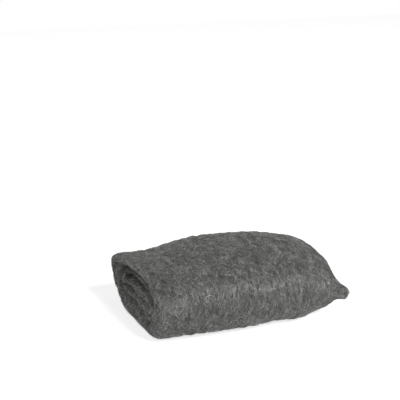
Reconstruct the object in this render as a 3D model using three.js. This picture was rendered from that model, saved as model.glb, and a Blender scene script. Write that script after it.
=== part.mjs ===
// A steel wool pad: one long ribbon of fine steel fibre, wound flat into a soft roll and pressed into
// a pad that lies on its broad side. The ribbon is as wide as the pad is long, so both ends show the
// ribbon's edges as the turns of a flat spiral. At the near end the turns lie sunk inside a lip. The
// far end is blunt and rounder, and a short tail of loose wool stands out from its front corner.
// Millimetres, +X along the roll from the near end to the far end, +Y to the back, +Z up.
// The origin is on the table, under the middle of the pad.
import * as THREE from 'three';

// Overall sizes
const padLength = 100;
const nearWidth = 75;
const farWidth = 72;
const nearHeight = 34.5;
const farHeight = 36.5;

// The roll's section and how it lies
const squareness = 2.5;
const crown = 1.9;
const tableSink = 3.2;

// Rounding and taper towards the two ends
const nearRound = 4;
const nearSlant = 5;
const nearSlantReach = 40;
const nearTaper = 2.4;
const nearTaperReach = 26;
const farRound = 6.5;
const farTaper = 5;
const farTaperReach = 34;

// The ribbon: how thick one turn is, how deep the gaps between turns show, and its free end
const ribbonThickness = 4.3;
const gapDepth = 2.3;
const coreHalfHeight = 0.8;
const lapStep = 1.4;
const lapSpread = 60;
const lapAngle = 205;

// How far the inner turns sink below the lip, and how far the ribbon's edge strays as it winds
const nearSink = 3;
const farSink = 0.9;
const edgeStray = 0.7;

// At the near end the lip leans: it overhangs most, and the turns lie deepest, at one place round it.
// The lips' widths are how far in from the rim the turns begin to sink.
const nearLean = 0.5;
const leanAngle = 90;
const nearLip = 6.5;
const farLip = 4.3;

// The tail at the far end's front corner: where its root is, how far it reaches and how wide it is
const tailAngle = 4;
const tailLength = 8.6;
const tailSpread = 4.4;
const tailTurn = 43;
const tailDroop = 6;

// Soft dents and swellings of the outer turn. Their place round the roll is in degrees. Their place
// along it and their reach are shares of the pad's length, and their rise is a share of the ribbon's
// thickness.
const lumps = [
  { along: 0.46, round: 328, reach: 0.22, rise: 0.21 },
  { along: 0.67, round: 322, reach: 0.08, rise: -0.21 },
  { along: 0.78, round: 322, reach: 0.1, rise: 0.26 },
  { along: 0.95, round: 325, reach: 0.11, rise: -0.51 },
  { along: 0.3, round: 40, reach: 0.22, rise: 0.23 },
  { along: 0.17, round: 116, reach: 0.17, rise: -0.75 },
  { along: 0.62, round: 62, reach: 0.18, rise: -0.21 },
  { along: 0.9, round: 78, reach: 0.12, rise: 0.27 },
  { along: 0.22, round: 335, reach: 0.18, rise: 0.12 },
  { along: 0.04, round: 318, reach: 0.09, rise: 0.21 },
  { along: 0, round: 150, reach: 0.1, rise: 0.8 },
  { along: 0, round: 218, reach: 0.12, rise: -0.5 },
  { along: 0.4, round: 150, reach: 0.2, rise: 0.26 },
  { along: 0.74, round: 170, reach: 0.16, rise: -0.28 },
];

// The locks of wool: low ridges that run round the roll and run into each other, because each wave
// leans its own way. A wave's spacing is a share of lockSpacing, and it leans over by whole ridges
// in one turn round the roll. They fade out towards the rounded ends.
const lockRise = 0.2;
const lockSpacing = 4.6;
const lockFade = 9;
const lockWaves = [
  { spacing: 1, leans: 3, start: 0.4 },
  { spacing: 1.23, leans: -4, start: 2.3 },
  { spacing: 1.5, leans: 2, start: 4.1 },
  { spacing: 1.12, leans: -7, start: 5.2 },
];

// Facets: round the roll, along it, and across one turn of the ribbon at the ends
const columns = 72;
const bodyRings = 46;
const turnRows = 4;
const grooveSteps = 16;

const lerp = THREE.MathUtils.lerp;
const radians = THREE.MathUtils.degToRad;

// How much narrower a section is at a distance from an end, from the full taper at the end itself
function taperAt(distance, taper, reach) {
  const share = Math.max(0, 1 - distance / reach);
  return taper * share * share;
}

// The section's half width, half height and centre height at a distance along the roll
function sectionAt(along) {
  const share = along / padLength;
  const bow = crown * Math.sin(Math.PI * share);
  const taper = taperAt(along, nearTaper, nearTaperReach)
    + taperAt(padLength - along, farTaper, farTaperReach);
  const halfWidth = lerp(nearWidth, farWidth, share) / 2 + bow - taper;
  const halfHeight = lerp(nearHeight, farHeight, share) / 2 + bow / 2 - taper * 0.6;
  return { halfWidth, halfHeight, centre: halfHeight - tableSink / 2 };
}

// The rise that the dents and swellings give the outer turn at one place
function lumpRise(along, angle, girth) {
  let rise = 0;
  for (const lump of lumps) {
    const turned = THREE.MathUtils.euclideanModulo(angle - radians(lump.round) + Math.PI, 2 * Math.PI) - Math.PI;
    const distance = Math.hypot(along - lump.along * padLength, turned * girth);
    rise += lump.rise * ribbonThickness * Math.exp(-((distance / (lump.reach * padLength)) ** 2));
  }
  return rise;
}

// The rise that the locks of wool give the outer turn at one place
function lockRiseAt(along, angle) {
  const fromNear = THREE.MathUtils.smoothstep(along - nearRound, 0, lockFade);
  const fromFar = THREE.MathUtils.smoothstep(padLength - farRound - along, 0, lockFade);
  let rise = 0;
  for (const wave of lockWaves) {
    rise += Math.sin((2 * Math.PI * along) / (wave.spacing * lockSpacing) + wave.leans * angle + wave.start);
  }
  return lockRise * fromNear * fromFar * rise;
}

// The step down past the ribbon's free end, which spreads out as the turn goes on
function lapDrop(turned) {
  const spread = radians(lapSpread);
  return lapStep * Math.exp(-turned / spread);
}

// A superellipse's sine or cosine: its flats get broader as the squareness grows
function squared(value) {
  return Math.sign(value) * Math.abs(value) ** (2 / squareness);
}

// How far the near end's slant moves a point towards the near side: its back edge stands out the most
function slantAt(along, y) {
  return nearSlant * Math.max(0, 1 - along / nearSlantReach) ** 2 * (y / nearWidth);
}

// One point of the roll at an inset from the outer turn's skin. Angle 0 is the front, 90 the top,
// 180 the back and 270 the table. The step at the free end fades out within one turn's thickness.
function rollPoint(along, angle, turned, inset) {
  const { halfWidth, halfHeight, centre } = sectionAt(along);
  const lapShare = Math.max(0, 1 - inset / ribbonThickness);
  const swelling = lumpRise(along, angle, (halfWidth + halfHeight) / 2) + lockRiseAt(along, angle);
  const rise = swelling - lapDrop(turned) * lapShare;
  const y = -squared(Math.cos(angle)) * (halfWidth + rise) * (1 - inset / halfWidth);
  const z = squared(Math.sin(angle)) * (halfHeight + rise);
  const kept = Math.max(-centre, z) * (1 - inset / halfHeight);
  return new THREE.Vector3(along - slantAt(along, y), y, centre + kept);
}

// The tail: wool near one point of the far end's rim is drawn out to the front and a little down
const tailRoot = rollPoint(padLength - farRound / 2, radians(tailAngle), Math.PI, 0);
const tailPull = new THREE.Vector3(tailLength, 0, 0)
  .applyAxisAngle(new THREE.Vector3(0, 1, 0), radians(tailDroop))
  .applyAxisAngle(new THREE.Vector3(0, 0, 1), -radians(tailTurn));

function drawnOut(point) {
  const distance = point.distanceTo(tailRoot);
  const share = Math.exp(-((distance / tailSpread) ** 2));
  return point.addScaledVector(tailPull, share);
}

// How far the ribbon's edge strays in or out at one place on an end
function strayAt(angle, inset) {
  const turn = inset / ribbonThickness;
  const slow = Math.sin(2 * angle + turn * 2.15 + 0.8);
  const quick = Math.sin(5 * angle - turn * 3 + 2.1);
  return edgeStray * (slow + 0.6 * quick);
}

// How far a point of an end stands out past the roll's last ring, at an inset from its rim.
// Rows run across one turn, so row 0 lies in the gap between two turns and the middle row on a crest.
function endReach(end, angle, inset, row, halfHeight) {
  const bend = 1 - Math.min(inset / end.round, 1);
  const rounded = end.round * Math.sqrt(1 - bend * bend);
  const core = THREE.MathUtils.smoothstep(inset, halfHeight * 0.35, halfHeight);
  const lean = end.lean * (1 - core) * Math.cos(angle - radians(leanAngle));
  const lip = end.lip * (1 - 0.6 * lean);
  const inner = THREE.MathUtils.smoothstep(inset, lip * 0.5, lip * 1.5);
  const parted = THREE.MathUtils.smoothstep(inset, lip * 0.3, lip);
  const gap = Math.abs(Math.cos((Math.PI * row) / turnRows)) ** 3;
  const sunk = end.sink * (1 + lean) * inner * (1 - 0.5 * core);
  return rounded - sunk - gapDepth * (1 + lean) * gap * parted + strayAt(angle, inset) * inner;
}

// The solid's points and triangles, filled in by the functions below
const points = [];
const triangles = [];

function addPoint(point) {
  return points.push(point) - 1;
}

function addTriangle(a, b, c) {
  if (a !== b && b !== c && c !== a) triangles.push([a, b, c]);
}

function addQuad(a, b, c, d) {
  addTriangle(a, b, c);
  addTriangle(a, c, d);
}

// How far round the roll a column is from the ribbon's free end
function turnedAt(column) {
  return (column / columns) * 2 * Math.PI;
}

// The roll's side: rings of the outer turn from the near end to the far end
function addSide() {
  const rings = [];
  for (let ring = 0; ring <= bodyRings; ring += 1) {
    const along = lerp(nearRound, padLength - farRound, ring / bodyRings);
    const loop = [];
    for (let column = 0; column < columns; column += 1) {
      const turned = turnedAt(column);
      loop.push(addPoint(drawnOut(rollPoint(along, radians(lapAngle) + turned, turned, 0))));
    }
    rings.push(loop);
  }
  for (let ring = 0; ring < bodyRings; ring += 1) {
    for (let column = 0; column < columns; column += 1) {
      const next = (column + 1) % columns;
      addQuad(rings[ring][column], rings[ring + 1][column], rings[ring + 1][next], rings[ring][next]);
    }
  }
  return { nearRim: rings[0], farRim: rings[bodyRings] };
}

// One end: the ribbon's edge winds inwards from the rim, turn after turn, as one spiral strip.
// A column's rows count inwards from the rim. After a full turn, the strip's rows meet those of
// column 0 one turn further in, and its first turn starts at nothing, at the ribbon's free end.
function addEnd(rim, end) {
  const { halfWidth, halfHeight, centre } = sectionAt(end.along);
  const turns = Math.floor((halfHeight - coreHalfHeight) / ribbonThickness - 0.5);
  const coreRow = turns * turnRows + Math.round(turnRows / 2);
  const grid = rim.map((corner) => [corner]);

  function insetAt(column, row) {
    const wound = column / columns;
    const firstTurn = wound * Math.min(1, row / turnRows);
    return ribbonThickness * (firstTurn + Math.max(0, row / turnRows - 1));
  }

  function vertexAt(column, row) {
    if (column === columns) return vertexAt(0, row + turnRows);
    if (column === 0 && row <= turnRows) return rim[0];
    if (grid[column][row] === undefined) {
      const inset = insetAt(column, row);
      const turned = turnedAt(column);
      const angle = radians(lapAngle) + turned;
      const point = rollPoint(end.along, angle, turned, inset);
      point.x += end.outward * endReach(end, angle, inset, row, halfHeight);
      grid[column][row] = addPoint(drawnOut(point));
    }
    return grid[column][row];
  }

  function addFacing(a, b, c) {
    if (end.outward > 0) addTriangle(a, b, c);
    else addTriangle(a, c, b);
  }

  for (let column = 0; column < columns; column += 1) {
    for (let row = 0; row < coreRow; row += 1) {
      const corners = [
        vertexAt(column, row),
        vertexAt(column, row + 1),
        vertexAt(column + 1, row + 1),
        vertexAt(column + 1, row),
      ];
      addFacing(corners[0], corners[1], corners[2]);
      addFacing(corners[0], corners[2], corners[3]);
    }
  }

  // The core: from the last turn's crest and the step where that turn began, in to a straight groove
  const core = [];
  for (let column = 0; column < columns; column += 1) core.push(vertexAt(column, coreRow));
  for (let row = coreRow + turnRows; row > coreRow; row -= 1) core.push(vertexAt(0, row));

  const grooveHalf = Math.max(coreHalfHeight, (halfWidth - insetAt(0, coreRow + turnRows)) * 0.8);
  const groove = [];
  for (let step = 0; step <= grooveSteps; step += 1) {
    const y = lerp(-grooveHalf, grooveHalf, step / grooveSteps);
    const reach = endReach(end, (Math.PI * step) / grooveSteps, halfHeight, 0, halfHeight);
    const x = end.along - slantAt(end.along, y) + end.outward * reach;
    groove.push(addPoint(new THREE.Vector3(x, y, centre)));
  }

  function grooveStepFor(corner) {
    const share = THREE.MathUtils.clamp(points[corner].y / grooveHalf, -1, 1);
    return Math.round((share + 1) / 2 * grooveSteps);
  }

  core.forEach((corner, place) => {
    const next = core[(place + 1) % core.length];
    const last = grooveStepFor(next);
    let step = grooveStepFor(corner);
    addFacing(corner, groove[step], next);
    while (step !== last) {
      const following = step + Math.sign(last - step);
      addFacing(next, groove[step], groove[following]);
      step = following;
    }
  });
}

const { nearRim, farRim } = addSide();
addEnd(nearRim, { along: nearRound, outward: -1, round: nearRound, sink: nearSink, lean: nearLean, lip: nearLip });
addEnd(farRim, { along: padLength - farRound, outward: 1, round: farRound, sink: farSink, lean: 0, lip: farLip });

const geometry = new THREE.BufferGeometry().setFromPoints(points);
geometry.setIndex(triangles.flat());
geometry.computeVertexNormals();
geometry.computeBoundingBox();
const middle = geometry.boundingBox.getCenter(new THREE.Vector3());
geometry.translate(-middle.x, -middle.y, 0);

const fineSteelWool = new THREE.MeshStandardMaterial({ color: 0x6b6b69, roughness: 0.8, metalness: 0.6 });

const rolledRibbon = new THREE.Mesh(geometry, fineSteelWool);
rolledRibbon.name = 'rolled_ribbon';

const steelWoolPad = new THREE.Group();
steelWoolPad.add(rolledRibbon);

export default steelWoolPad;
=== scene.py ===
"""A steel wool pad: one ribbon of fine steel fibre, wound flat into a soft roll that lies on its side.

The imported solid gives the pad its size, its sag and the turns at its two ends. Here it becomes wool: a
close mat that keeps the solid's form, and over it many thousands of separate fibres, which run the way
the ribbon was wound, round the roll on its sides and along the turns at its ends.
"""
from __future__ import annotations

import logging
import math
from dataclasses import dataclass, field
from enum import Enum

import bpy
import numpy as np
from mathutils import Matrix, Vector, noise
from mathutils.bvhtree import BVHTree


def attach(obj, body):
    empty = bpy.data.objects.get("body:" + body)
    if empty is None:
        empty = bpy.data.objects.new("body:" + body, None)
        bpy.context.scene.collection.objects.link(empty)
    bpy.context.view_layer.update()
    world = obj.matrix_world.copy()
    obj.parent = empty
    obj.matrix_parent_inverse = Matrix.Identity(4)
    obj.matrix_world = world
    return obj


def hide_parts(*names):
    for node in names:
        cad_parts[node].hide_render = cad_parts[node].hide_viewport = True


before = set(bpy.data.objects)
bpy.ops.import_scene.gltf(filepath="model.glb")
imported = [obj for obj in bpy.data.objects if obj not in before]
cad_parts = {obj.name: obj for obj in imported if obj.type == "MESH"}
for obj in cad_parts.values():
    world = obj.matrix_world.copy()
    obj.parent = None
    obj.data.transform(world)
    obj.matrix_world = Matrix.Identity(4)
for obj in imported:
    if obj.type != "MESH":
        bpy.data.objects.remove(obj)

LOG = logging.getLogger("steel_wool_pad")

MM = 0.001
SOLID_NODE = "rolled_ribbon"
SEED = 20

# The winding, as the solid has it: one turn's thickness, and where the ribbon's free end lies
RIBBON_THICKNESS = 4.3 * MM
LAP_ANGLE = math.radians(205)
SQUARENESS = 2.5

# The stretch of the roll whose sections are measured, from the near end to where the tail begins, the
# step between two sections, and the share of a step that each takes in to either side
MEASURED = (-44 * MM, 41 * MM)
SECTION_STEP = 4 * MM
SECTION_REACH = 0.75
# A point's inset is found by halving, between this far outside the roll and this near its middle
OUTERMOST = 4 * MM
INNERMOST = 0.2 * MM
HALVINGS = 22

# The direction in which the tail is drawn out of the far end's front corner
TAIL_DIRECTION = Vector((0.727, -0.678, -0.105)).normalized()

WHITE = "ffffff"
# A fibre's tone runs from 0, dark, to 1, bright, and keeps a little off both
TONE_LIMITS = (0.02, 0.98)
# A thread is a tube of three sides that thins at both ends to this share of its thickness
THREAD_SIDES = 3
THIN_END = 0.45
# The fibres' map has this many strips for as many tones
TONE_STRIPS = 64
# A piece has to stay under 200,000 triangles, so the side's fibres are in several pieces of so many
WRAP_COUNT = 9000


class Zone(Enum):
    """The three stretches of the pad's surface that fibres are laid on."""

    SIDE = "side"
    NEAR_END = "near_end"
    FAR_END = "far_end"


def linear(hex_colour: str) -> tuple[float, float, float, float]:
    """Turn an sRGB hex colour to the linear colour that a shader takes.

    Args:
        hex_colour: The colour as six hex digits, such as "6b6b69".

    Returns:
        Linear red, green and blue, and an alpha of 1.
    """
    channels = []
    for start in (0, 2, 4):
        value = int(hex_colour[start:start + 2], 16) / 255
        # The sRGB curve: a straight foot, and a power above it
        channels.append(value / 12.92 if value <= 0.04045 else ((value + 0.055) / 1.055) ** 2.4)
    return (channels[0], channels[1], channels[2], 1.0)


def unit(vectors: np.ndarray, no_length: float = 1e-12) -> np.ndarray:
    """Scale each vector to length 1, and leave a vector of no length as it is."""
    return vectors / np.maximum(np.linalg.norm(vectors, axis=-1, keepdims=True), no_length)


def deselect_all() -> None:
    """Leave no object selected, so that an operator acts only on what is picked next."""
    bpy.ops.object.select_all(action="DESELECT")


def pick(thing: bpy.types.Object) -> None:
    """Make one object the only selected one, and the active one."""
    deselect_all()
    thing.select_set(True)
    bpy.context.view_layer.objects.active = thing


def add_node(
    tree: bpy.types.NodeTree,
    kind: str,
    links: dict[str | int, bpy.types.NodeSocket] | None = None,
    values: dict[str | int, object] | None = None,
    **settings: object,
) -> bpy.types.Node:
    """Add one shader node with its settings, its socket values and its incoming links.

    Args:
        tree: The node tree that gets the node.
        kind: The node's type, such as "ShaderNodeTexNoise".
        links: Output sockets to link in, by input name or number.
        values: Values to set, by input name or number.
        **settings: The node's own properties, such as operation.

    Returns:
        The new node.
    """
    node = tree.nodes.new(kind)
    for name, setting in settings.items():
        setattr(node, name, setting)
    for key, value in (values or {}).items():
        node.inputs[key].default_value = value
    for key, socket in (links or {}).items():
        tree.links.new(socket, node.inputs[key])
    return node


def seen_rays(tree: bpy.types.NodeTree) -> bpy.types.NodeSocket:
    """Give a socket that is 1 for the rays in which the background is seen, straight or reflected."""
    ray = add_node(tree, "ShaderNodeLightPath")
    direct = add_node(tree, "ShaderNodeMath",
                      {0: ray.outputs["Is Camera Ray"], 1: ray.outputs["Is Glossy Ray"]}, operation="MAXIMUM")
    every = add_node(tree, "ShaderNodeMath",
                     {0: direct.outputs[0], 1: ray.outputs["Is Transmission Ray"]}, operation="MAXIMUM")
    return every.outputs[0]


def fill_ramp(node: bpy.types.Node, places: tuple[float, ...], colours: tuple[str, ...]) -> None:
    """Give a colour ramp its stops.

    Args:
        node: The ramp node.
        places: Each stop's place, from 0 to 1 and in rising order.
        colours: Each stop's sRGB hex colour.
    """
    ramp = node.color_ramp
    while len(ramp.elements) < len(places):
        ramp.elements.new(1.0)
    for element, place, colour in zip(ramp.elements, places, colours):
        element.position = place
        element.color = linear(colour)


@dataclass(frozen=True)
class SteelWoolMat:
    """The close mat under the loose fibres: cut low-carbon steel, felted by its own burrs.

    Its colour is painted dark, for the shade between the fibres where little light gets in, and it is dull,
    because no two threads of it lie the same way.
    """

    # All three tones are painted darker than the fibres', for the shade inside the wool; noise picks among
    # them
    shade: str = "383837"
    body: str = "62625f"
    lit: str = "8e8e8a"
    metallic: float = 0.5
    roughness: float = 0.6
    # Real threads are about 0.03 mm thick, too fine to show, so the streaks are drawn as bundles
    streak_width: float = 0.45 * MM
    streak_length: float = 7 * MM
    streak_detail: float = 3.0
    streak_roughness: float = 0.6
    streak_distortion: float = 0.4
    clump_size: float = 4 * MM
    clump_detail: float = 2.0
    clump_share: float = 0.25
    # Where on the mixed pattern, from 0 to 1, the shade, the body colour and the lit colour lie
    colour_places: tuple[float, float, float] = (0.3, 0.52, 0.72)
    bump_strength: float = 0.8
    bump_depth: float = 0.3 * MM

    def make(self) -> bpy.types.Material:
        """Build the material, which reads the piece's winding attribute."""
        material = bpy.data.materials.new("felted_steel_mat")
        material.use_nodes = True
        tree = material.node_tree
        tree.nodes.clear()
        winding = add_node(tree, "ShaderNodeAttribute", attribute_name="winding").outputs["Vector"]
        along, across = 1 / self.streak_length, 1 / self.streak_width
        streak_place = add_node(tree, "ShaderNodeMapping", {"Vector": winding},
                                {"Scale": (across, along, along)})
        streaks = add_node(tree, "ShaderNodeTexNoise", {"Vector": streak_place.outputs["Vector"]},
                           {"Scale": 1.0, "Detail": self.streak_detail, "Roughness": self.streak_roughness,
                            "Distortion": self.streak_distortion})
        clump_place = add_node(tree, "ShaderNodeMapping", {"Vector": winding},
                               {"Scale": (1 / self.clump_size,) * 3})
        clumps = add_node(tree, "ShaderNodeTexNoise", {"Vector": clump_place.outputs["Vector"]},
                          {"Scale": 1.0, "Detail": self.clump_detail})
        mixed = add_node(tree, "ShaderNodeMix",
                         {"A": streaks.outputs["Fac"], "B": clumps.outputs["Fac"]},
                         {"Factor": self.clump_share}, data_type="FLOAT")
        ramp = add_node(tree, "ShaderNodeValToRGB", {"Fac": mixed.outputs["Result"]})
        fill_ramp(ramp, self.colour_places, (self.shade, self.body, self.lit))
        bump = add_node(tree, "ShaderNodeBump", {"Height": streaks.outputs["Fac"]},
                        {"Strength": self.bump_strength, "Distance": self.bump_depth})
        steel = add_node(tree, "ShaderNodeBsdfPrincipled",
                         {"Base Color": ramp.outputs["Color"], "Normal": bump.outputs["Normal"]},
                         {"Metallic": self.metallic, "Roughness": self.roughness})
        add_node(tree, "ShaderNodeOutputMaterial", {"Surface": steel.outputs["BSDF"]})
        return material


@dataclass(frozen=True)
class SteelFibre:
    """Bare shaved steel thread: grey, and bright in painted glints where its cut face would catch the light.
    """

    dark: str = "3f3f3e"
    middle: str = "7e7e7c"
    bright: str = "dcdcd9"
    metallic: float = 0.7
    roughness: float = 0.38
    # Painted glints: light and dark stretches along a fibre, standing in for the light that its twisting face
    # catches or misses: a few over its length, in other places on each strip of the map
    glints_along: float = 7.0
    strip_change: float = 40.0
    glint_detail: float = 1.0
    glint_share: float = 0.35
    # Where on the mixed tone, from 0 to 1, the three colours lie
    colour_places: tuple[float, float, float] = (0.1, 0.5, 0.9)

    def make(self) -> bpy.types.Material:
        """Build the material, which reads the fibres' own map: u along a fibre, v its tone."""
        material = bpy.data.materials.new("shaved_steel_fibre")
        material.use_nodes = True
        tree = material.node_tree
        tree.nodes.clear()
        place = add_node(tree, "ShaderNodeUVMap", uv_map="OFBake").outputs["UV"]
        parts = add_node(tree, "ShaderNodeSeparateXYZ", {"Vector": place})
        # Painted glints: noise along each fibre lightens and darkens stretches of its tone, as if they caught
        # the light
        stretched = add_node(tree, "ShaderNodeMapping", {"Vector": place},
                             {"Scale": (self.glints_along, self.strip_change, 1.0)})
        glint = add_node(tree, "ShaderNodeTexNoise", {"Vector": stretched.outputs["Vector"]},
                         {"Scale": 1.0, "Detail": self.glint_detail})
        tone = add_node(tree, "ShaderNodeMix",
                        {"A": parts.outputs["Y"], "B": glint.outputs["Fac"]},
                        {"Factor": self.glint_share}, data_type="FLOAT")
        ramp = add_node(tree, "ShaderNodeValToRGB", {"Fac": tone.outputs["Result"]})
        fill_ramp(ramp, self.colour_places, (self.dark, self.middle, self.bright))
        steel = add_node(tree, "ShaderNodeBsdfPrincipled", {"Base Color": ramp.outputs["Color"]},
                         {"Metallic": self.metallic, "Roughness": self.roughness})
        add_node(tree, "ShaderNodeOutputMaterial", {"Surface": steel.outputs["BSDF"]})
        return material


@dataclass
class RollSection:
    """The roll's nested oval sections, read off the solid: where its middle is and how wide it is.

    A point's inset is how deep it lies below the outer turn, and its turn is the angle round the roll,
    0 at the front, a quarter turn at the top and half a turn at the back.
    """

    stations: np.ndarray
    half_width: np.ndarray
    half_height: np.ndarray
    middle_y: np.ndarray
    middle_z: np.ndarray

    @classmethod
    def of_solid(cls, places: np.ndarray) -> "RollSection":
        """Measure the sections of a solid.

        Args:
            places: The solid's vertices, in metres.

        Returns:
            The sections, from the near end to where the tail begins.
        """
        stations = np.arange(*MEASURED, SECTION_STEP)
        rows = []
        for station in stations:
            ring = places[np.abs(places[:, 0] - station) < SECTION_STEP * SECTION_REACH]
            low, high = ring.min(0), ring.max(0)
            rows.append(((high[1] - low[1]) / 2, (high[2] - low[2]) / 2,
                         (high[1] + low[1]) / 2, (high[2] + low[2]) / 2))
        table = np.array(rows)
        return cls(stations, table[:, 0], table[:, 1], table[:, 2], table[:, 3])

    def _local(self, points: np.ndarray) -> tuple[np.ndarray, np.ndarray, np.ndarray, np.ndarray]:
        """Give each point's offsets from its section's middle, and that section's half sizes."""
        x = points[:, 0]
        y = points[:, 1] - np.interp(x, self.stations, self.middle_y)
        z = points[:, 2] - np.interp(x, self.stations, self.middle_z)
        return (y, z, np.interp(x, self.stations, self.half_width),
                np.interp(x, self.stations, self.half_height))

    def place(self, points: np.ndarray) -> tuple[np.ndarray, np.ndarray, np.ndarray]:
        """Find where points lie in the winding.

        Args:
            points: Places in metres, one a row.

        Returns:
            Each point's inset in metres, its turn in radians, and the unit vector out of the roll.
        """
        y, z, wide, high = self._local(points)
        low = np.full(len(points), -OUTERMOST)
        top = np.minimum(wide, high) - INNERMOST
        for _ in range(HALVINGS):
            inset = (low + top) / 2
            level = (np.abs(y) / (wide - inset)) ** SQUARENESS + (np.abs(z) / (high - inset)) ** SQUARENESS
            outside = level > 1
            top = np.where(outside, inset, top)
            low = np.where(outside, low, inset)
        inset = (low + top) / 2
        across, up = wide - inset, high - inset
        cosine = -np.sign(y) * (np.abs(y) / across) ** (SQUARENESS / 2)
        sine = np.sign(z) * (np.abs(z) / up) ** (SQUARENESS / 2)
        outward = np.stack([
            np.zeros_like(y),
            np.sign(y) * np.abs(y) ** (SQUARENESS - 1) / across ** SQUARENESS,
            np.sign(z) * np.abs(z) ** (SQUARENESS - 1) / up ** SQUARENESS,
        ], 1)
        return inset, np.arctan2(sine, cosine), unit(outward)

    def winding(self, points: np.ndarray) -> np.ndarray:
        """Give points a coordinate that unrolls the pad, with no seam.

        Args:
            points: Places in metres, one a row.

        Returns:
            The way across the ribbon, over the rim and in towards the core, and the way round the
            roll as a point on a circle of the roll's own girth, all in metres.
        """
        inset, turn, _ = self.place(points)
        across = points[:, 0] + np.sign(points[:, 0]) * np.maximum(inset, 0)
        girth = float(self.half_width.mean() + self.half_height.mean()) / 2
        return np.stack([across, girth * np.cos(turn), girth * np.sin(turn)], 1)


@dataclass
class Skin:
    """The smooth surface that the fibres are laid on, with a tree to find its nearest point."""

    places: np.ndarray
    triangles: np.ndarray
    section: RollSection
    tail_tip: Vector
    tree: BVHTree = field(init=False)
    # An end's face begins this deep below the outer turn, and this far from the pad's middle
    end_inset: float = 1.6 * MM
    end_from: float = 38 * MM
    # Little of the underside shows, so below this height it takes only a share of the fibres
    underside: float = 0.6 * MM
    underside_share: float = 0.35
    # The tail turns the grain towards its tip: how far beside it and behind it, and how strongly
    tail_width: float = 5 * MM
    tail_root: float = 4 * MM
    tail_fade: float = 9 * MM
    tail_pull: float = 1.4

    def __post_init__(self) -> None:
        """Build the search tree."""
        self.tree = BVHTree.FromPolygons(self.places.tolist(), self.triangles.tolist())

    @classmethod
    def of_mesh(cls, mesh: bpy.types.Mesh, section: RollSection, tail_tip: Vector) -> "Skin":
        """Take the surface from a mesh.

        Args:
            mesh: The mesh, in metres.
            section: The roll's sections.
            tail_tip: Where the tail ends.

        Returns:
            The surface.
        """
        places = np.zeros(len(mesh.vertices) * 3)
        mesh.vertices.foreach_get("co", places)
        mesh.calc_loop_triangles()
        triangles = np.zeros(len(mesh.loop_triangles) * 3, dtype=np.int32)
        mesh.loop_triangles.foreach_get("vertices", triangles)
        return cls(places.reshape(-1, 3), triangles.reshape(-1, 3), section, tail_tip)

    def nearest(self, points: np.ndarray) -> tuple[np.ndarray, np.ndarray]:
        """Find the surface's nearest points and its normals there."""
        found, normals = np.empty_like(points), np.empty_like(points)
        for row, point in enumerate(points):
            place, normal, _, _ = self.tree.find_nearest(Vector(point))
            found[row], normals[row] = place, normal
        return found, normals

    def scatter(self, rng: np.random.Generator, count: int, zone: Zone) -> np.ndarray:
        """Pick places on one stretch of the surface, evenly by area.

        Args:
            rng: The source of chance.
            count: How many places.
            zone: The stretch.

        Returns:
            The places, in metres.
        """
        facets = self.places[self.triangles]
        centres = facets.mean(1)
        inset, _, _ = self.section.place(centres)
        at_end = (inset > self.end_inset) & (np.abs(centres[:, 0]) > self.end_from)
        wanted = {
            Zone.SIDE: ~at_end,
            Zone.NEAR_END: at_end & (centres[:, 0] < 0),
            Zone.FAR_END: at_end & (centres[:, 0] > 0),
        }[zone]
        area = np.linalg.norm(np.cross(facets[:, 1] - facets[:, 0], facets[:, 2] - facets[:, 0]), axis=1)
        weight = np.where(centres[:, 2] < self.underside, self.underside_share, 1.0) * area * wanted
        chosen = rng.choice(len(weight), count, p=weight / weight.sum())
        first, second = rng.random((2, count, 1))
        turned = first + second > 1
        first, second = np.where(turned, 1 - first, first), np.where(turned, 1 - second, second)
        picked = facets[chosen]
        return picked[:, 0] + first * (picked[:, 1] - picked[:, 0]) + second * (picked[:, 2] - picked[:, 0])

    def grain(self, points: np.ndarray, normals: np.ndarray) -> np.ndarray:
        """Give the direction in which the wool lies.

        Args:
            points: Places on the surface.
            normals: The surface's normals there.

        Returns:
            Unit vectors in the surface: round the roll, and towards the tip near the tail.
        """
        _, _, outward = self.section.place(points)
        wound = np.cross(np.array([1.0, 0.0, 0.0]), outward)
        tip, pull = np.array(self.tail_tip), np.array(TAIL_DIRECTION)
        offset = points - tip
        along = offset @ pull
        beside = np.linalg.norm(offset - along[:, None] * pull, axis=1)
        behind = np.minimum(along + self.tail_root, 0)
        near_tail = np.exp(-(beside / self.tail_width) ** 2) * np.exp(-(behind / self.tail_fade) ** 2)
        drawn = wound * (1 - near_tail[:, None]) + pull * near_tail[:, None] * self.tail_pull
        flat = drawn - normals * np.sum(drawn * normals, axis=1, keepdims=True)
        return unit(flat)


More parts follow.
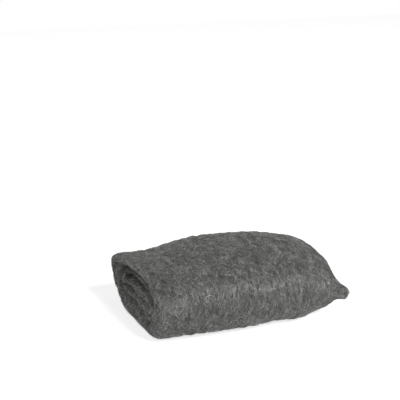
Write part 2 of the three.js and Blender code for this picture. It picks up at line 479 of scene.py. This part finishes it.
@dataclass
class WoolMat:
    """The pad's body: the solid's form, felted, with deeper gaps between the turns at its ends."""

    solid: bpy.types.Object
    finish: SteelWoolMat
    merge_distance: float = 0.001 * MM
    voxel: float = 0.56 * MM
    # Rounds of smoothing over the solid's edges and over the gaps, and how much each round does
    edge_softening: int = 12
    gap_softening: int = 8
    softening: float = 0.5
    # Both ends are shaped from this far out of the pad's middle
    ends_from: float = 36 * MM
    # How much the gaps are deepened, how wide they are as a share of a turn, and how uneven they are
    gap_extra: float = 1.9 * MM
    gap_share: float = 0.23
    gap_unevenness: float = 1.8
    gap_patch: float = 7 * MM
    # Only what faces out of an end is sunk: its normal counts this much, less a part
    facing_gain: float = 2.0
    facing_loss: float = 0.4
    # At the near end the gaps are deepest at one place round the roll, as the solid's are
    near_lean: float = 0.15
    lean_angle: float = 90
    # How far in from the rim the gaps begin, at the near end with its broad lip and at the far end
    near_lip: float = 2.8 * MM
    far_lip: float = 1.2 * MM
    lip_fade: float = 2.2 * MM
    # The near end's first inner turn is sunk under the top, and its front is filled by loose wool, up
    # to a little below the lip
    hollow_depth: float = 2.1 * MM
    hollow_place: float = 8 * MM
    hollow_width: float = 3 * MM
    hollow_angle: float = 105
    front_fill: float = 0.85
    fill_below: float = 2 * MM
    fill_angle: float = -12
    inner_spread: float = 60
    # The lip's top back corner stands a little further out than the solid's
    corner_out: float = 1.3 * MM
    corner_angle: float = 140
    corner_spread: float = 35
    corner_length: float = 8 * MM
    # The tail's tip is drawn back and made full, and its root is pinched, from above and from below
    tip_back: float = 0.8 * MM
    tail_reach: float = 6.5 * MM
    tail_stretch: float = 2.3 * MM
    tail_swell: float = 0.54
    swell_place: float = 0.9 * MM
    swell_stretch: float = 1.7 * MM
    pinch_above: float = 0.22
    pinch_below: float = 0.3
    pinch_place: float = 7 * MM
    # The surface is ruffled by round clumps, and by longer locks that follow the winding
    clump_rise: float = 0.2 * MM
    clump_size: float = 5 * MM
    lock_rise: float = 0.22 * MM
    lock_width: float = 1.5 * MM
    lock_length: float = 9 * MM

    def build(self) -> tuple[bpy.types.Object, Skin]:
        """Make the body and the smooth surface that its fibres lie on.

        Returns:
            The body, and the surface.
        """
        mat = bpy.data.objects.new("felted_wool_body", self.solid.data.copy())
        bpy.context.scene.collection.objects.link(mat)
        pick(mat)
        bpy.ops.object.mode_set(mode="EDIT")
        bpy.ops.mesh.select_all(action="SELECT")
        bpy.ops.mesh.remove_doubles(threshold=self.merge_distance)
        bpy.ops.object.mode_set(mode="OBJECT")
        places = self._places(mat)
        section = RollSection.of_solid(places)
        self._remesh(mat)
        tip = self._round_tail(mat)
        self._shape_near_end(mat, section)
        self._deepen_gaps(mat, section)
        skin = Skin.of_mesh(mat.data, section, tip)
        self._raise_locks(mat, section)
        self._dress(mat, section)
        return mat, skin

    @staticmethod
    def _places(piece: bpy.types.Object) -> np.ndarray:
        """Give a piece's vertices, one a row."""
        places = np.zeros(len(piece.data.vertices) * 3)
        piece.data.vertices.foreach_get("co", places)
        return places.reshape(-1, 3)

    @staticmethod
    def _normals(piece: bpy.types.Object) -> np.ndarray:
        """Give the normals at a piece's vertices, one a row."""
        normals = np.zeros(len(piece.data.vertices) * 3)
        piece.data.vertices.foreach_get("normal", normals)
        return normals.reshape(-1, 3)

    @staticmethod
    def _move(piece: bpy.types.Object, places: np.ndarray) -> None:
        """Put a piece's vertices at new places, none of them below the table."""
        places[:, 2] = np.maximum(places[:, 2], 0)
        piece.data.vertices.foreach_set("co", places.ravel())
        piece.data.update()

    def _remesh(self, mat: bpy.types.Object) -> None:
        """Give the body even small facets, and smooth the solid's edges off it."""
        remesh = mat.modifiers.new("even_facets", "REMESH")
        remesh.mode = "VOXEL"
        remesh.voxel_size = self.voxel
        bpy.ops.object.modifier_apply(modifier=remesh.name)
        self._soften(mat, self.edge_softening)

    def _soften(self, mat: bpy.types.Object, rounds: int) -> None:
        """Smooth the body a number of times over."""
        smooth = mat.modifiers.new("soft_edges", "SMOOTH")
        smooth.factor, smooth.iterations = self.softening, rounds
        bpy.ops.object.modifier_apply(modifier=smooth.name)

    def _round_tail(self, mat: bpy.types.Object) -> Vector:
        """Make the tail a blunt tuft: its tip drawn back, its end fuller, its root pinched.

        Args:
            mat: The body.

        Returns:
            The tail's new tip.
        """
        places = self._places(mat)
        pull = np.array(TAIL_DIRECTION)
        tip = places[np.argmax(places @ pull)]
        behind = (tip - places) @ pull
        beside = places - tip + behind[:, None] * pull
        near = np.exp(-(np.linalg.norm(beside, axis=1) / self.tail_reach) ** 2)
        swell = self.tail_swell * near * np.exp(-((behind - self.swell_place) / self.swell_stretch) ** 2)
        pinch = near * np.exp(-((behind - self.pinch_place) / self.tail_stretch) ** 2)
        scale = swell - pinch * np.where(beside[:, 2] > 0, self.pinch_above, self.pinch_below)
        places += beside * scale[:, None]
        places -= pull * (self.tip_back * np.exp(-(behind / self.tail_stretch) ** 2))[:, None]
        self._move(mat, places)
        return Vector(places[np.argmax(places @ pull)])

    def _shape_near_end(self, mat: bpy.types.Object, section: RollSection) -> None:
        """Sink the near end's first inner turn under the top, fill its front, and draw out its lip's corner.

        Args:
            mat: The body.
            section: The roll's sections.
        """
        places = self._places(mat)
        inset, turn, _ = section.place(places)
        inner = (places[:, 0] < -self.ends_from) * np.clip((inset - self.near_lip) / self.lip_fade, 0, 1)
        sunk = places[:, 0] - places[:, 0].min()

        def toward(angle: float, spread: float) -> np.ndarray:
            """Weigh points by how near their turn is to an angle, in degrees."""
            off = (turn - math.radians(angle) + math.pi) % (2 * math.pi) - math.pi
            return np.exp(-(off / math.radians(spread)) ** 2)

        room = np.maximum(sunk - self.fill_below, 0)
        fill = self.front_fill * toward(self.fill_angle, self.inner_spread) * room
        ring = np.exp(-((inset - self.hollow_place) / self.hollow_width) ** 2)
        hollow = self.hollow_depth * ring * toward(self.hollow_angle, self.inner_spread)
        lip = np.exp(-(sunk / self.corner_length) ** 2)
        corner = self.corner_out * lip * toward(self.corner_angle, self.corner_spread)
        places[:, 0] += inner * (hollow - fill) - (1 - inner) * corner
        self._move(mat, places)

    def _deepen_gaps(self, mat: bpy.types.Object, section: RollSection) -> None:
        """Sink the gaps between the turns at both ends, some deeper than others.

        Args:
            mat: The body.
            section: The roll's sections.
        """
        places, normals = self._places(mat), self._normals(mat)
        inset, turn, _ = section.place(places)
        wound = ((turn - LAP_ANGLE) / (2 * math.pi)) % 1
        phase = inset / RIBBON_THICKNESS - wound
        off_gap = np.abs(phase - np.round(phase))
        uneven = np.array([noise.noise(Vector(place) / self.gap_patch) for place in places])
        lip = np.where(places[:, 0] < 0, self.near_lip, self.far_lip)
        gap = np.exp(-(off_gap / self.gap_share) ** 2) * np.clip((inset - lip) / self.lip_fade, 0, 1)
        facing = np.clip(np.abs(normals[:, 0]) * self.facing_gain - self.facing_loss, 0, 1)
        leaning = self.near_lean * np.cos(turn - math.radians(self.lean_angle))
        lean = 1 + np.where(places[:, 0] < 0, leaning, 0)
        depth = self.gap_extra * gap * facing * lean * (1 + self.gap_unevenness * uneven)
        depth *= np.abs(places[:, 0]) > self.ends_from
        places[:, 0] -= np.sign(places[:, 0]) * depth
        self._move(mat, places)
        self._soften(mat, self.gap_softening)

    def _raise_locks(self, mat: bpy.types.Object, section: RollSection) -> None:
        """Ruffle the surface: soft clumps, and longer locks of wool that follow the winding.

        Args:
            mat: The body.
            section: The roll's sections.
        """
        places, normals = self._places(mat), self._normals(mat)
        winding = section.winding(places)
        stretch = np.array([1 / self.lock_width, 1 / self.lock_length, 1 / self.lock_length])
        clumps = np.array([noise.noise(Vector(place) / self.clump_size) for place in winding])
        locks = np.array([noise.noise(Vector(place * stretch)) for place in winding])
        rise = self.clump_rise * clumps + self.lock_rise * locks
        self._move(mat, places + normals * rise[:, None])

    def _dress(self, mat: bpy.types.Object, section: RollSection) -> None:
        """Give the body its winding coordinate, its material and its place among the pieces.

        Args:
            mat: The body.
            section: The roll's sections.
        """
        layer = mat.data.attributes.new("winding", "FLOAT_VECTOR", "POINT")
        layer.data.foreach_set("vector", section.winding(self._places(mat)).ravel())
        mat.data.materials.clear()
        mat.data.materials.append(self.finish.make())
        pick(mat)
        bpy.ops.object.shade_smooth()
        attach(mat, "root")
        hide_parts(SOLID_NODE)


@dataclass
class FibreLayer:
    """One layer of loose fibres on the pad, each a thin closed thread.

    The real threads are about 0.03 mm thick. They are drawn a few times thicker, because threads that
    fine would be far too many and wouldn't show. Tens of thousands of them follow the winding, which
    can't be modelled by hand, so they are traced over the skin and written from arrays.
    """

    name: str
    zone: Zone
    count: int
    length: tuple[float, float] = (1.6 * MM, 5.5 * MM)
    thickness: tuple[float, float] = (0.1 * MM, 0.18 * MM)
    rings: int = 4
    # Fibres lie in small locks: how many to one, and how far apart
    per_lock: int = 2
    lock_spread: float = 0.35 * MM
    # Off the grain: a lock's slant and a fibre's own, in degrees, and the share that cross it, by up to
    # so many radians
    slant: float = 28.0
    own_slant: float = 6.0
    crossing: float = 0.38
    crossing_lean: float = 1.3
    # How a fibre curls as it runs: degrees to either side, how much of that, and radians a step
    curl: float = 30.0
    curl_share: tuple[float, float] = (0.4, 1.6)
    wave: tuple[float, float] = (0.6, 1.7)
    # How high a fibre lies on the skin, how far its middle arches up or down, what is added to each
    # height, and the least height over the table
    height: float = 0.25 * MM
    arch: float = 0.15 * MM
    arch_share: tuple[float, float] = (-0.3, 1.0)
    least_height: float = 0.05 * MM
    above_table: float = 0.15 * MM
    # The tones' middle, and how much they vary by lock, by fibre and by patch of the pad
    tone_middle: float = 0.5
    lock_tones: float = 0.2
    own_tones: float = 0.24
    patch_tones: float = 0.09
    patch_size: float = 3.5 * MM

    def build(self, skin: Skin, finish: bpy.types.Material, rng: np.random.Generator) -> bpy.types.Object:
        """Lay the fibres and join them in one piece.

        Args:
            skin: The surface that they lie on.
            finish: Their material.
            rng: The source of chance.

        Returns:
            The piece.
        """
        paths, normals = self._trace(skin, rng)
        tones = np.clip(self._tones(paths[:, 0], rng), *TONE_LIMITS)
        radii = rng.uniform(*self.thickness, len(paths)) / 2
        return thread_piece(self.name, paths, normals, radii, tones, finish)

    def _tones(self, starts: np.ndarray, rng: np.random.Generator) -> np.ndarray:
        """Give each fibre a tone, alike within a lock and within a patch of the pad.

        Args:
            starts: Where the fibres begin.
            rng: The source of chance.

        Returns:
            The tones, some of them past the limits.
        """
        locks = rng.normal(0, self.lock_tones, len(starts) // self.per_lock + 1)
        patch = np.array([noise.noise(Vector(start) / self.patch_size) for start in starts])
        own = rng.normal(0, self.own_tones, len(starts))
        lock = np.repeat(locks, self.per_lock)[:len(starts)]
        return self.tone_middle + self.patch_tones * patch + lock + own

    def _trace(self, skin: Skin, rng: np.random.Generator) -> tuple[np.ndarray, np.ndarray]:
        """Run each fibre over the surface, from its start, in steps that follow the grain.

        Args:
            skin: The surface.
            rng: The source of chance.

        Returns:
            The fibres' points, and the surface's normals at them, both by fibre and step.
        """
        locks = -(-self.count // self.per_lock)
        seeds = np.repeat(skin.scatter(rng, locks, self.zone), self.per_lock, axis=0)[:self.count]
        starts = seeds + rng.normal(0, self.lock_spread, (self.count, 3))
        lean = np.repeat(rng.normal(0, math.radians(self.slant), locks), self.per_lock)[:self.count]
        lean += rng.normal(0, math.radians(self.own_slant), self.count)
        crossing = rng.random(self.count) < self.crossing
        lean = np.where(crossing, rng.uniform(-self.crossing_lean, self.crossing_lean, self.count), lean)
        way = np.repeat(rng.choice([-1.0, 1.0], locks), self.per_lock)[:self.count]
        step = rng.uniform(*self.length, self.count) / (self.rings - 1)
        curl = math.radians(self.curl) * rng.uniform(*self.curl_share, self.count)
        wave, shift = rng.uniform(*self.wave, self.count), rng.uniform(0, 2 * math.pi, self.count)
        base = np.abs(rng.normal(0, self.height, self.count))
        arch = rng.uniform(*self.arch_share, self.count) * self.arch

        place, normal = skin.nearest(starts)
        points, normals = [], []
        for ring in range(self.rings):
            share = ring / (self.rings - 1)
            rise = base + arch * math.sin(math.pi * share) + self.least_height
            point = place + normal * rise[:, None]
            point[:, 2] = np.maximum(point[:, 2], self.above_table)
            points.append(point)
            normals.append(normal)
            grain = skin.grain(place, normal) * way[:, None]
            beside = np.cross(normal, grain)
            angle = (lean + curl * np.sin(wave * ring + shift))[:, None]
            heading = grain * np.cos(angle) + beside * np.sin(angle)
            place, normal = skin.nearest(place + heading * step[:, None])
        return np.stack(points, 1), np.stack(normals, 1)


def thread_map(tones: np.ndarray, share: np.ndarray) -> np.ndarray:
    """Lay each thread in a thin strip of the map, along u, at the height of its tone in v.

    Args:
        tones: Each thread's tone, from 0 to 1.
        share: Each ring's place along its thread, from 0 to 1.

    Returns:
        The map's point for each corner of each face: side by side, then the caps at both ends.
    """
    thin = 1 / TONE_STRIPS
    strip = np.floor(tones * (TONE_STRIPS - 2)) / TONE_STRIPS
    size = (len(tones), len(share) - 1)
    start, stop = np.broadcast_to(share[:-1], size), np.broadcast_to(share[1:], size)
    places = []
    for side in range(THREAD_SIDES):
        low = np.broadcast_to((strip + thin * side / THREAD_SIDES)[:, None], size)
        high = np.broadcast_to((strip + thin * (side + 1) / THREAD_SIDES)[:, None], size)
        loop = np.stack([np.stack([start, low], -1), np.stack([start, high], -1),
                         np.stack([stop, high], -1), np.stack([stop, low], -1)], 2)
        places.append(loop.reshape(-1, 2))
    # A cap is a small triangle at its own end of the strip
    cap_along, cap_across = np.array([0.0, 0.004, 0.004]), np.array([0.1, 0.1, 0.9])
    for end in (0.0, 1.0):
        cap = np.empty((len(tones), THREAD_SIDES, 2))
        cap[..., 0] = abs(end - cap_along)
        cap[..., 1] = strip[:, None] + thin * cap_across
        places.append(cap.reshape(-1, 2))
    return np.concatenate(places)


def thread_piece(
    name: str,
    paths: np.ndarray,
    normals: np.ndarray,
    radii: np.ndarray,
    tones: np.ndarray,
    finish: bpy.types.Material,
) -> bpy.types.Object:
    """Make one piece of many threads, each a closed tube that thins to its ends.

    Args:
        name: The piece's name.
        paths: The threads' points, by thread and ring.
        normals: A direction beside the thread at each point, by thread and ring.
        radii: Each thread's radius.
        tones: Each thread's tone, from 0 to 1.
        finish: The threads' material.

    Returns:
        The piece, which rides on the pad.
    """
    threads, rings = paths.shape[:2]
    heading = unit(np.gradient(paths, axis=1))
    beside = unit(np.cross(heading, normals))
    over = np.cross(beside, heading)
    share = np.linspace(0, 1, rings)
    taper = (THIN_END + (1 - THIN_END) * np.sin(math.pi * share))[None, :, None]
    edges = []
    for side in range(THREAD_SIDES):
        angle = 2 * math.pi * side / THREAD_SIDES
        offset = beside * math.cos(angle) + over * math.sin(angle)
        edges.append(paths + offset * radii[:, None, None] * taper)
    vertices = np.stack(edges, 2).reshape(-1, 3)

    number = np.arange(threads * rings * THREAD_SIDES).reshape(threads, rings, THREAD_SIDES)
    near, far = number[:, :-1], number[:, 1:]
    faces = []
    for side in range(THREAD_SIDES):
        other = (side + 1) % THREAD_SIDES
        quads = np.stack([near[..., side], near[..., other], far[..., other], far[..., side]], -1)
        faces += quads.reshape(-1, 4).tolist()
    faces += number[:, 0, ::-1].tolist() + number[:, -1].tolist()
    mesh = bpy.data.meshes.new(name)
    mesh.from_pydata(vertices.tolist(), [], faces)
    layer = mesh.uv_layers.new(name="OFBake")
    layer.data.foreach_set("uv", thread_map(tones, share).ravel())

    mesh.materials.append(finish)
    mesh.polygons.foreach_set("use_smooth", np.ones(len(mesh.polygons), dtype=bool))
    mesh.update()
    piece = bpy.data.objects.new(name, mesh)
    bpy.context.scene.collection.objects.link(piece)
    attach(piece, "root")
    LOG.info("%s: %d threads, %d faces", name, threads, len(mesh.polygons))
    return piece


@dataclass
class TailTuft:
    """The threads of the tail: they gather from the skin round its root and run out past its tip."""

    count: int = 420
    rings: int = 9
    thickness: tuple[float, float] = (0.09 * MM, 0.18 * MM)
    # They start round a root this far behind the tip, within this distance of it, just off the skin
    root_behind: float = 9 * MM
    gather: float = 9 * MM
    start_height: tuple[float, float] = (0.05 * MM, 0.5 * MM)
    # They end between these two places, short of the tip and past it, and this far apart
    short_of_tip: float = 3 * MM
    past_tip: float = 0.8 * MM
    end_spread: float = 0.7 * MM
    # How much of both distances a thread takes
    taken: tuple[float, float] = (0.3, 1.0)
    # Between the two they bend at a knee: how far behind the tip, how wide of the way there, how loose
    knee_behind: tuple[float, float] = (3 * MM, 6 * MM)
    knee_width: float = 0.22
    knee_spread: float = 0.5 * MM
    tone_middle: float = 0.58
    tone_spread: float = 0.16

    def build(self, skin: Skin, finish: bpy.types.Material, rng: np.random.Generator) -> bpy.types.Object:
        """Make the tuft as one piece.

        Args:
            skin: The surface that the threads start on.
            finish: Their material.
            rng: The source of chance.

        Returns:
            The piece.
        """
        each = (self.count, 1)
        tip, pull = np.array(skin.tail_tip), np.array(TAIL_DIRECTION)
        root = tip - pull * self.root_behind
        spread = unit(rng.normal(0, 1, (self.count, 3)))
        spread -= (spread @ pull)[:, None] * pull
        starts, normals = skin.nearest(root + spread * rng.uniform(*self.taken, each) * self.gather)
        starts += normals * rng.uniform(*self.start_height, each)
        reach = rng.uniform(-self.short_of_tip, self.past_tip, each) * rng.uniform(*self.taken, each)
        ends = tip + pull * reach + rng.normal(0, self.end_spread, (self.count, 3))
        knees = tip - pull * rng.uniform(*self.knee_behind, each)
        knees += (starts - knees) * self.knee_width + rng.normal(0, self.knee_spread, (self.count, 3))
        share = np.linspace(0, 1, self.rings)[None, :, None]
        paths = (starts[:, None] * (1 - share) ** 2 + knees[:, None] * 2 * share * (1 - share)
                 + ends[:, None] * share ** 2)
        sideways = np.broadcast_to(normals[:, None], paths.shape)
        radii = rng.uniform(*self.thickness, self.count) / 2
        tones = np.clip(rng.normal(self.tone_middle, self.tone_spread, self.count), *TONE_LIMITS)
        return thread_piece("tail_tuft", paths, sideways, radii, tones, finish)


@dataclass
class Studio:
    """A pale floor, soft light from above, in front and the right, and the camera."""

    # Where the camera stands and how it is turned, from fitting the solid's outline to the photograph
    camera_place: tuple[float, float, float] = (-0.1879, -0.4730, 0.2094)
    azimuth: float = -20.05
    elevation: float = 16.39
    lens: float = 93.6
    sensor_width: float = 36
    clip: tuple[float, float] = (0.01, 20)
    floor_colour: str = "f2f2f2"
    floor_size: float = 2.4
    floor_glow: float = 0.78
    key_power: float = 13.4
    key_place: tuple[float, float, float] = (0.36, -0.88, 0.84)
    key_size: float = 0.4
    world_strength: float = 0.14

    def build(self) -> None:
        """Make the floor, the lights, the world and the camera."""
        self._floor()
        self._lights()
        self._world()
        self._camera()

    def _floor(self) -> None:
        """Lay the floor, which the camera and reflections see white apart from the pad's shadow."""
        deselect_all()
        bpy.ops.mesh.primitive_plane_add(size=self.floor_size, location=(0, 0, 0))
        floor = bpy.context.active_object
        floor.name = "pale_floor"
        material = bpy.data.materials.new("pale_floor")
        material.use_nodes = True
        tree = material.node_tree
        tree.nodes.clear()
        seen = seen_rays(tree)
        matt = add_node(tree, "ShaderNodeBsdfDiffuse", values={"Color": linear(self.floor_colour)})
        glow = add_node(tree, "ShaderNodeEmission",
                        values={"Color": linear(WHITE), "Strength": self.floor_glow})
        both = add_node(tree, "ShaderNodeAddShader", {0: matt.outputs[0], 1: glow.outputs[0]})
        mixed = add_node(tree, "ShaderNodeMixShader",
                         {0: seen, 1: matt.outputs[0], 2: both.outputs[0]})
        add_node(tree, "ShaderNodeOutputMaterial", {"Surface": mixed.outputs[0]})
        floor.data.materials.append(material)

    def _lights(self) -> None:
        """Hang the one soft lamp."""
        lamp = bpy.data.lights.new("soft_key", "AREA")
        lamp.energy, lamp.size = self.key_power, self.key_size
        key = bpy.data.objects.new("soft_key", lamp)
        key.location = self.key_place
        key.rotation_euler = (-Vector(self.key_place)).to_track_quat("-Z", "Y").to_euler()
        bpy.context.scene.collection.objects.link(key)

    def _world(self) -> None:
        """Surround the pad with even light, which the camera and reflections see as white."""
        world = bpy.data.worlds.new("pale_room")
        world.use_nodes = True
        tree = world.node_tree
        tree.nodes.clear()
        seen = seen_rays(tree)
        even = add_node(tree, "ShaderNodeBackground",
                        values={"Color": linear(WHITE), "Strength": self.world_strength})
        white = add_node(tree, "ShaderNodeBackground", values={"Color": linear(WHITE), "Strength": 1.0})
        mixed = add_node(tree, "ShaderNodeMixShader",
                         {0: seen, 1: even.outputs[0], 2: white.outputs[0]})
        add_node(tree, "ShaderNodeOutputWorld", {"Surface": mixed.outputs[0]})
        bpy.context.scene.world = world

    def _camera(self) -> None:
        """Set the camera up."""
        turn, tilt = math.radians(self.azimuth), math.radians(self.elevation)
        back = Vector((math.sin(turn) * math.cos(tilt), -math.cos(turn) * math.cos(tilt), math.sin(tilt)))
        lens = bpy.data.cameras.new("photo_camera")
        lens.lens, lens.sensor_width = self.lens, self.sensor_width
        lens.clip_start, lens.clip_end = self.clip
        camera = bpy.data.objects.new("photo_camera", lens)
        camera.location = self.camera_place
        camera.rotation_euler = (-back).to_track_quat("-Z", "Y").to_euler()
        bpy.context.scene.collection.objects.link(camera)
        bpy.context.scene.camera = camera


def main() -> None:
    """Build the pad and its studio, and report each piece."""
    logging.basicConfig(level=logging.INFO, format="%(message)s")
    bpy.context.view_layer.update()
    bpy.context.scene.view_settings.view_transform = "Standard"
    Studio().build()

    mat, skin = WoolMat(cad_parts[SOLID_NODE], SteelWoolMat()).build()
    LOG.info("%s: %d faces", mat.name, len(mat.data.polygons))

    rng = np.random.default_rng(SEED)
    thread = SteelFibre().make()
    layers = [
        # The lower layers' fibres are painted darker, for the shade that the fibres above them cast
        FibreLayer("under_wrap_fibres", Zone.SIDE, WRAP_COUNT, height=0.05 * MM, tone_middle=0.44),
        FibreLayer("inner_wrap_fibres", Zone.SIDE, WRAP_COUNT, height=0.08 * MM, tone_middle=0.46),
        FibreLayer("middle_wrap_fibres", Zone.SIDE, WRAP_COUNT, height=0.12 * MM, tone_middle=0.49),
        FibreLayer("outer_wrap_fibres", Zone.SIDE, WRAP_COUNT, height=0.16 * MM, tone_middle=0.52),
        FibreLayer("top_wrap_fibres", Zone.SIDE, count=7600, length=(2 * MM, 8 * MM), rings=5,
                   height=0.2 * MM, tone_middle=0.53),
        FibreLayer("near_end_fibres", Zone.NEAR_END, count=6200),
        FibreLayer("far_end_fibres", Zone.FAR_END, count=5000),
        FibreLayer("stray_hairs", Zone.SIDE, count=300, length=(5 * MM, 12 * MM),
                   thickness=(0.07 * MM, 0.12 * MM), rings=7, per_lock=1, slant=50, crossing=0.5,
                   curl=40, height=0.3 * MM, arch=1.2 * MM),
    ]
    for layer in layers:
        layer.build(skin, thread, rng)
    TailTuft().build(skin, thread, rng)


if __name__ == "__main__":
    main()
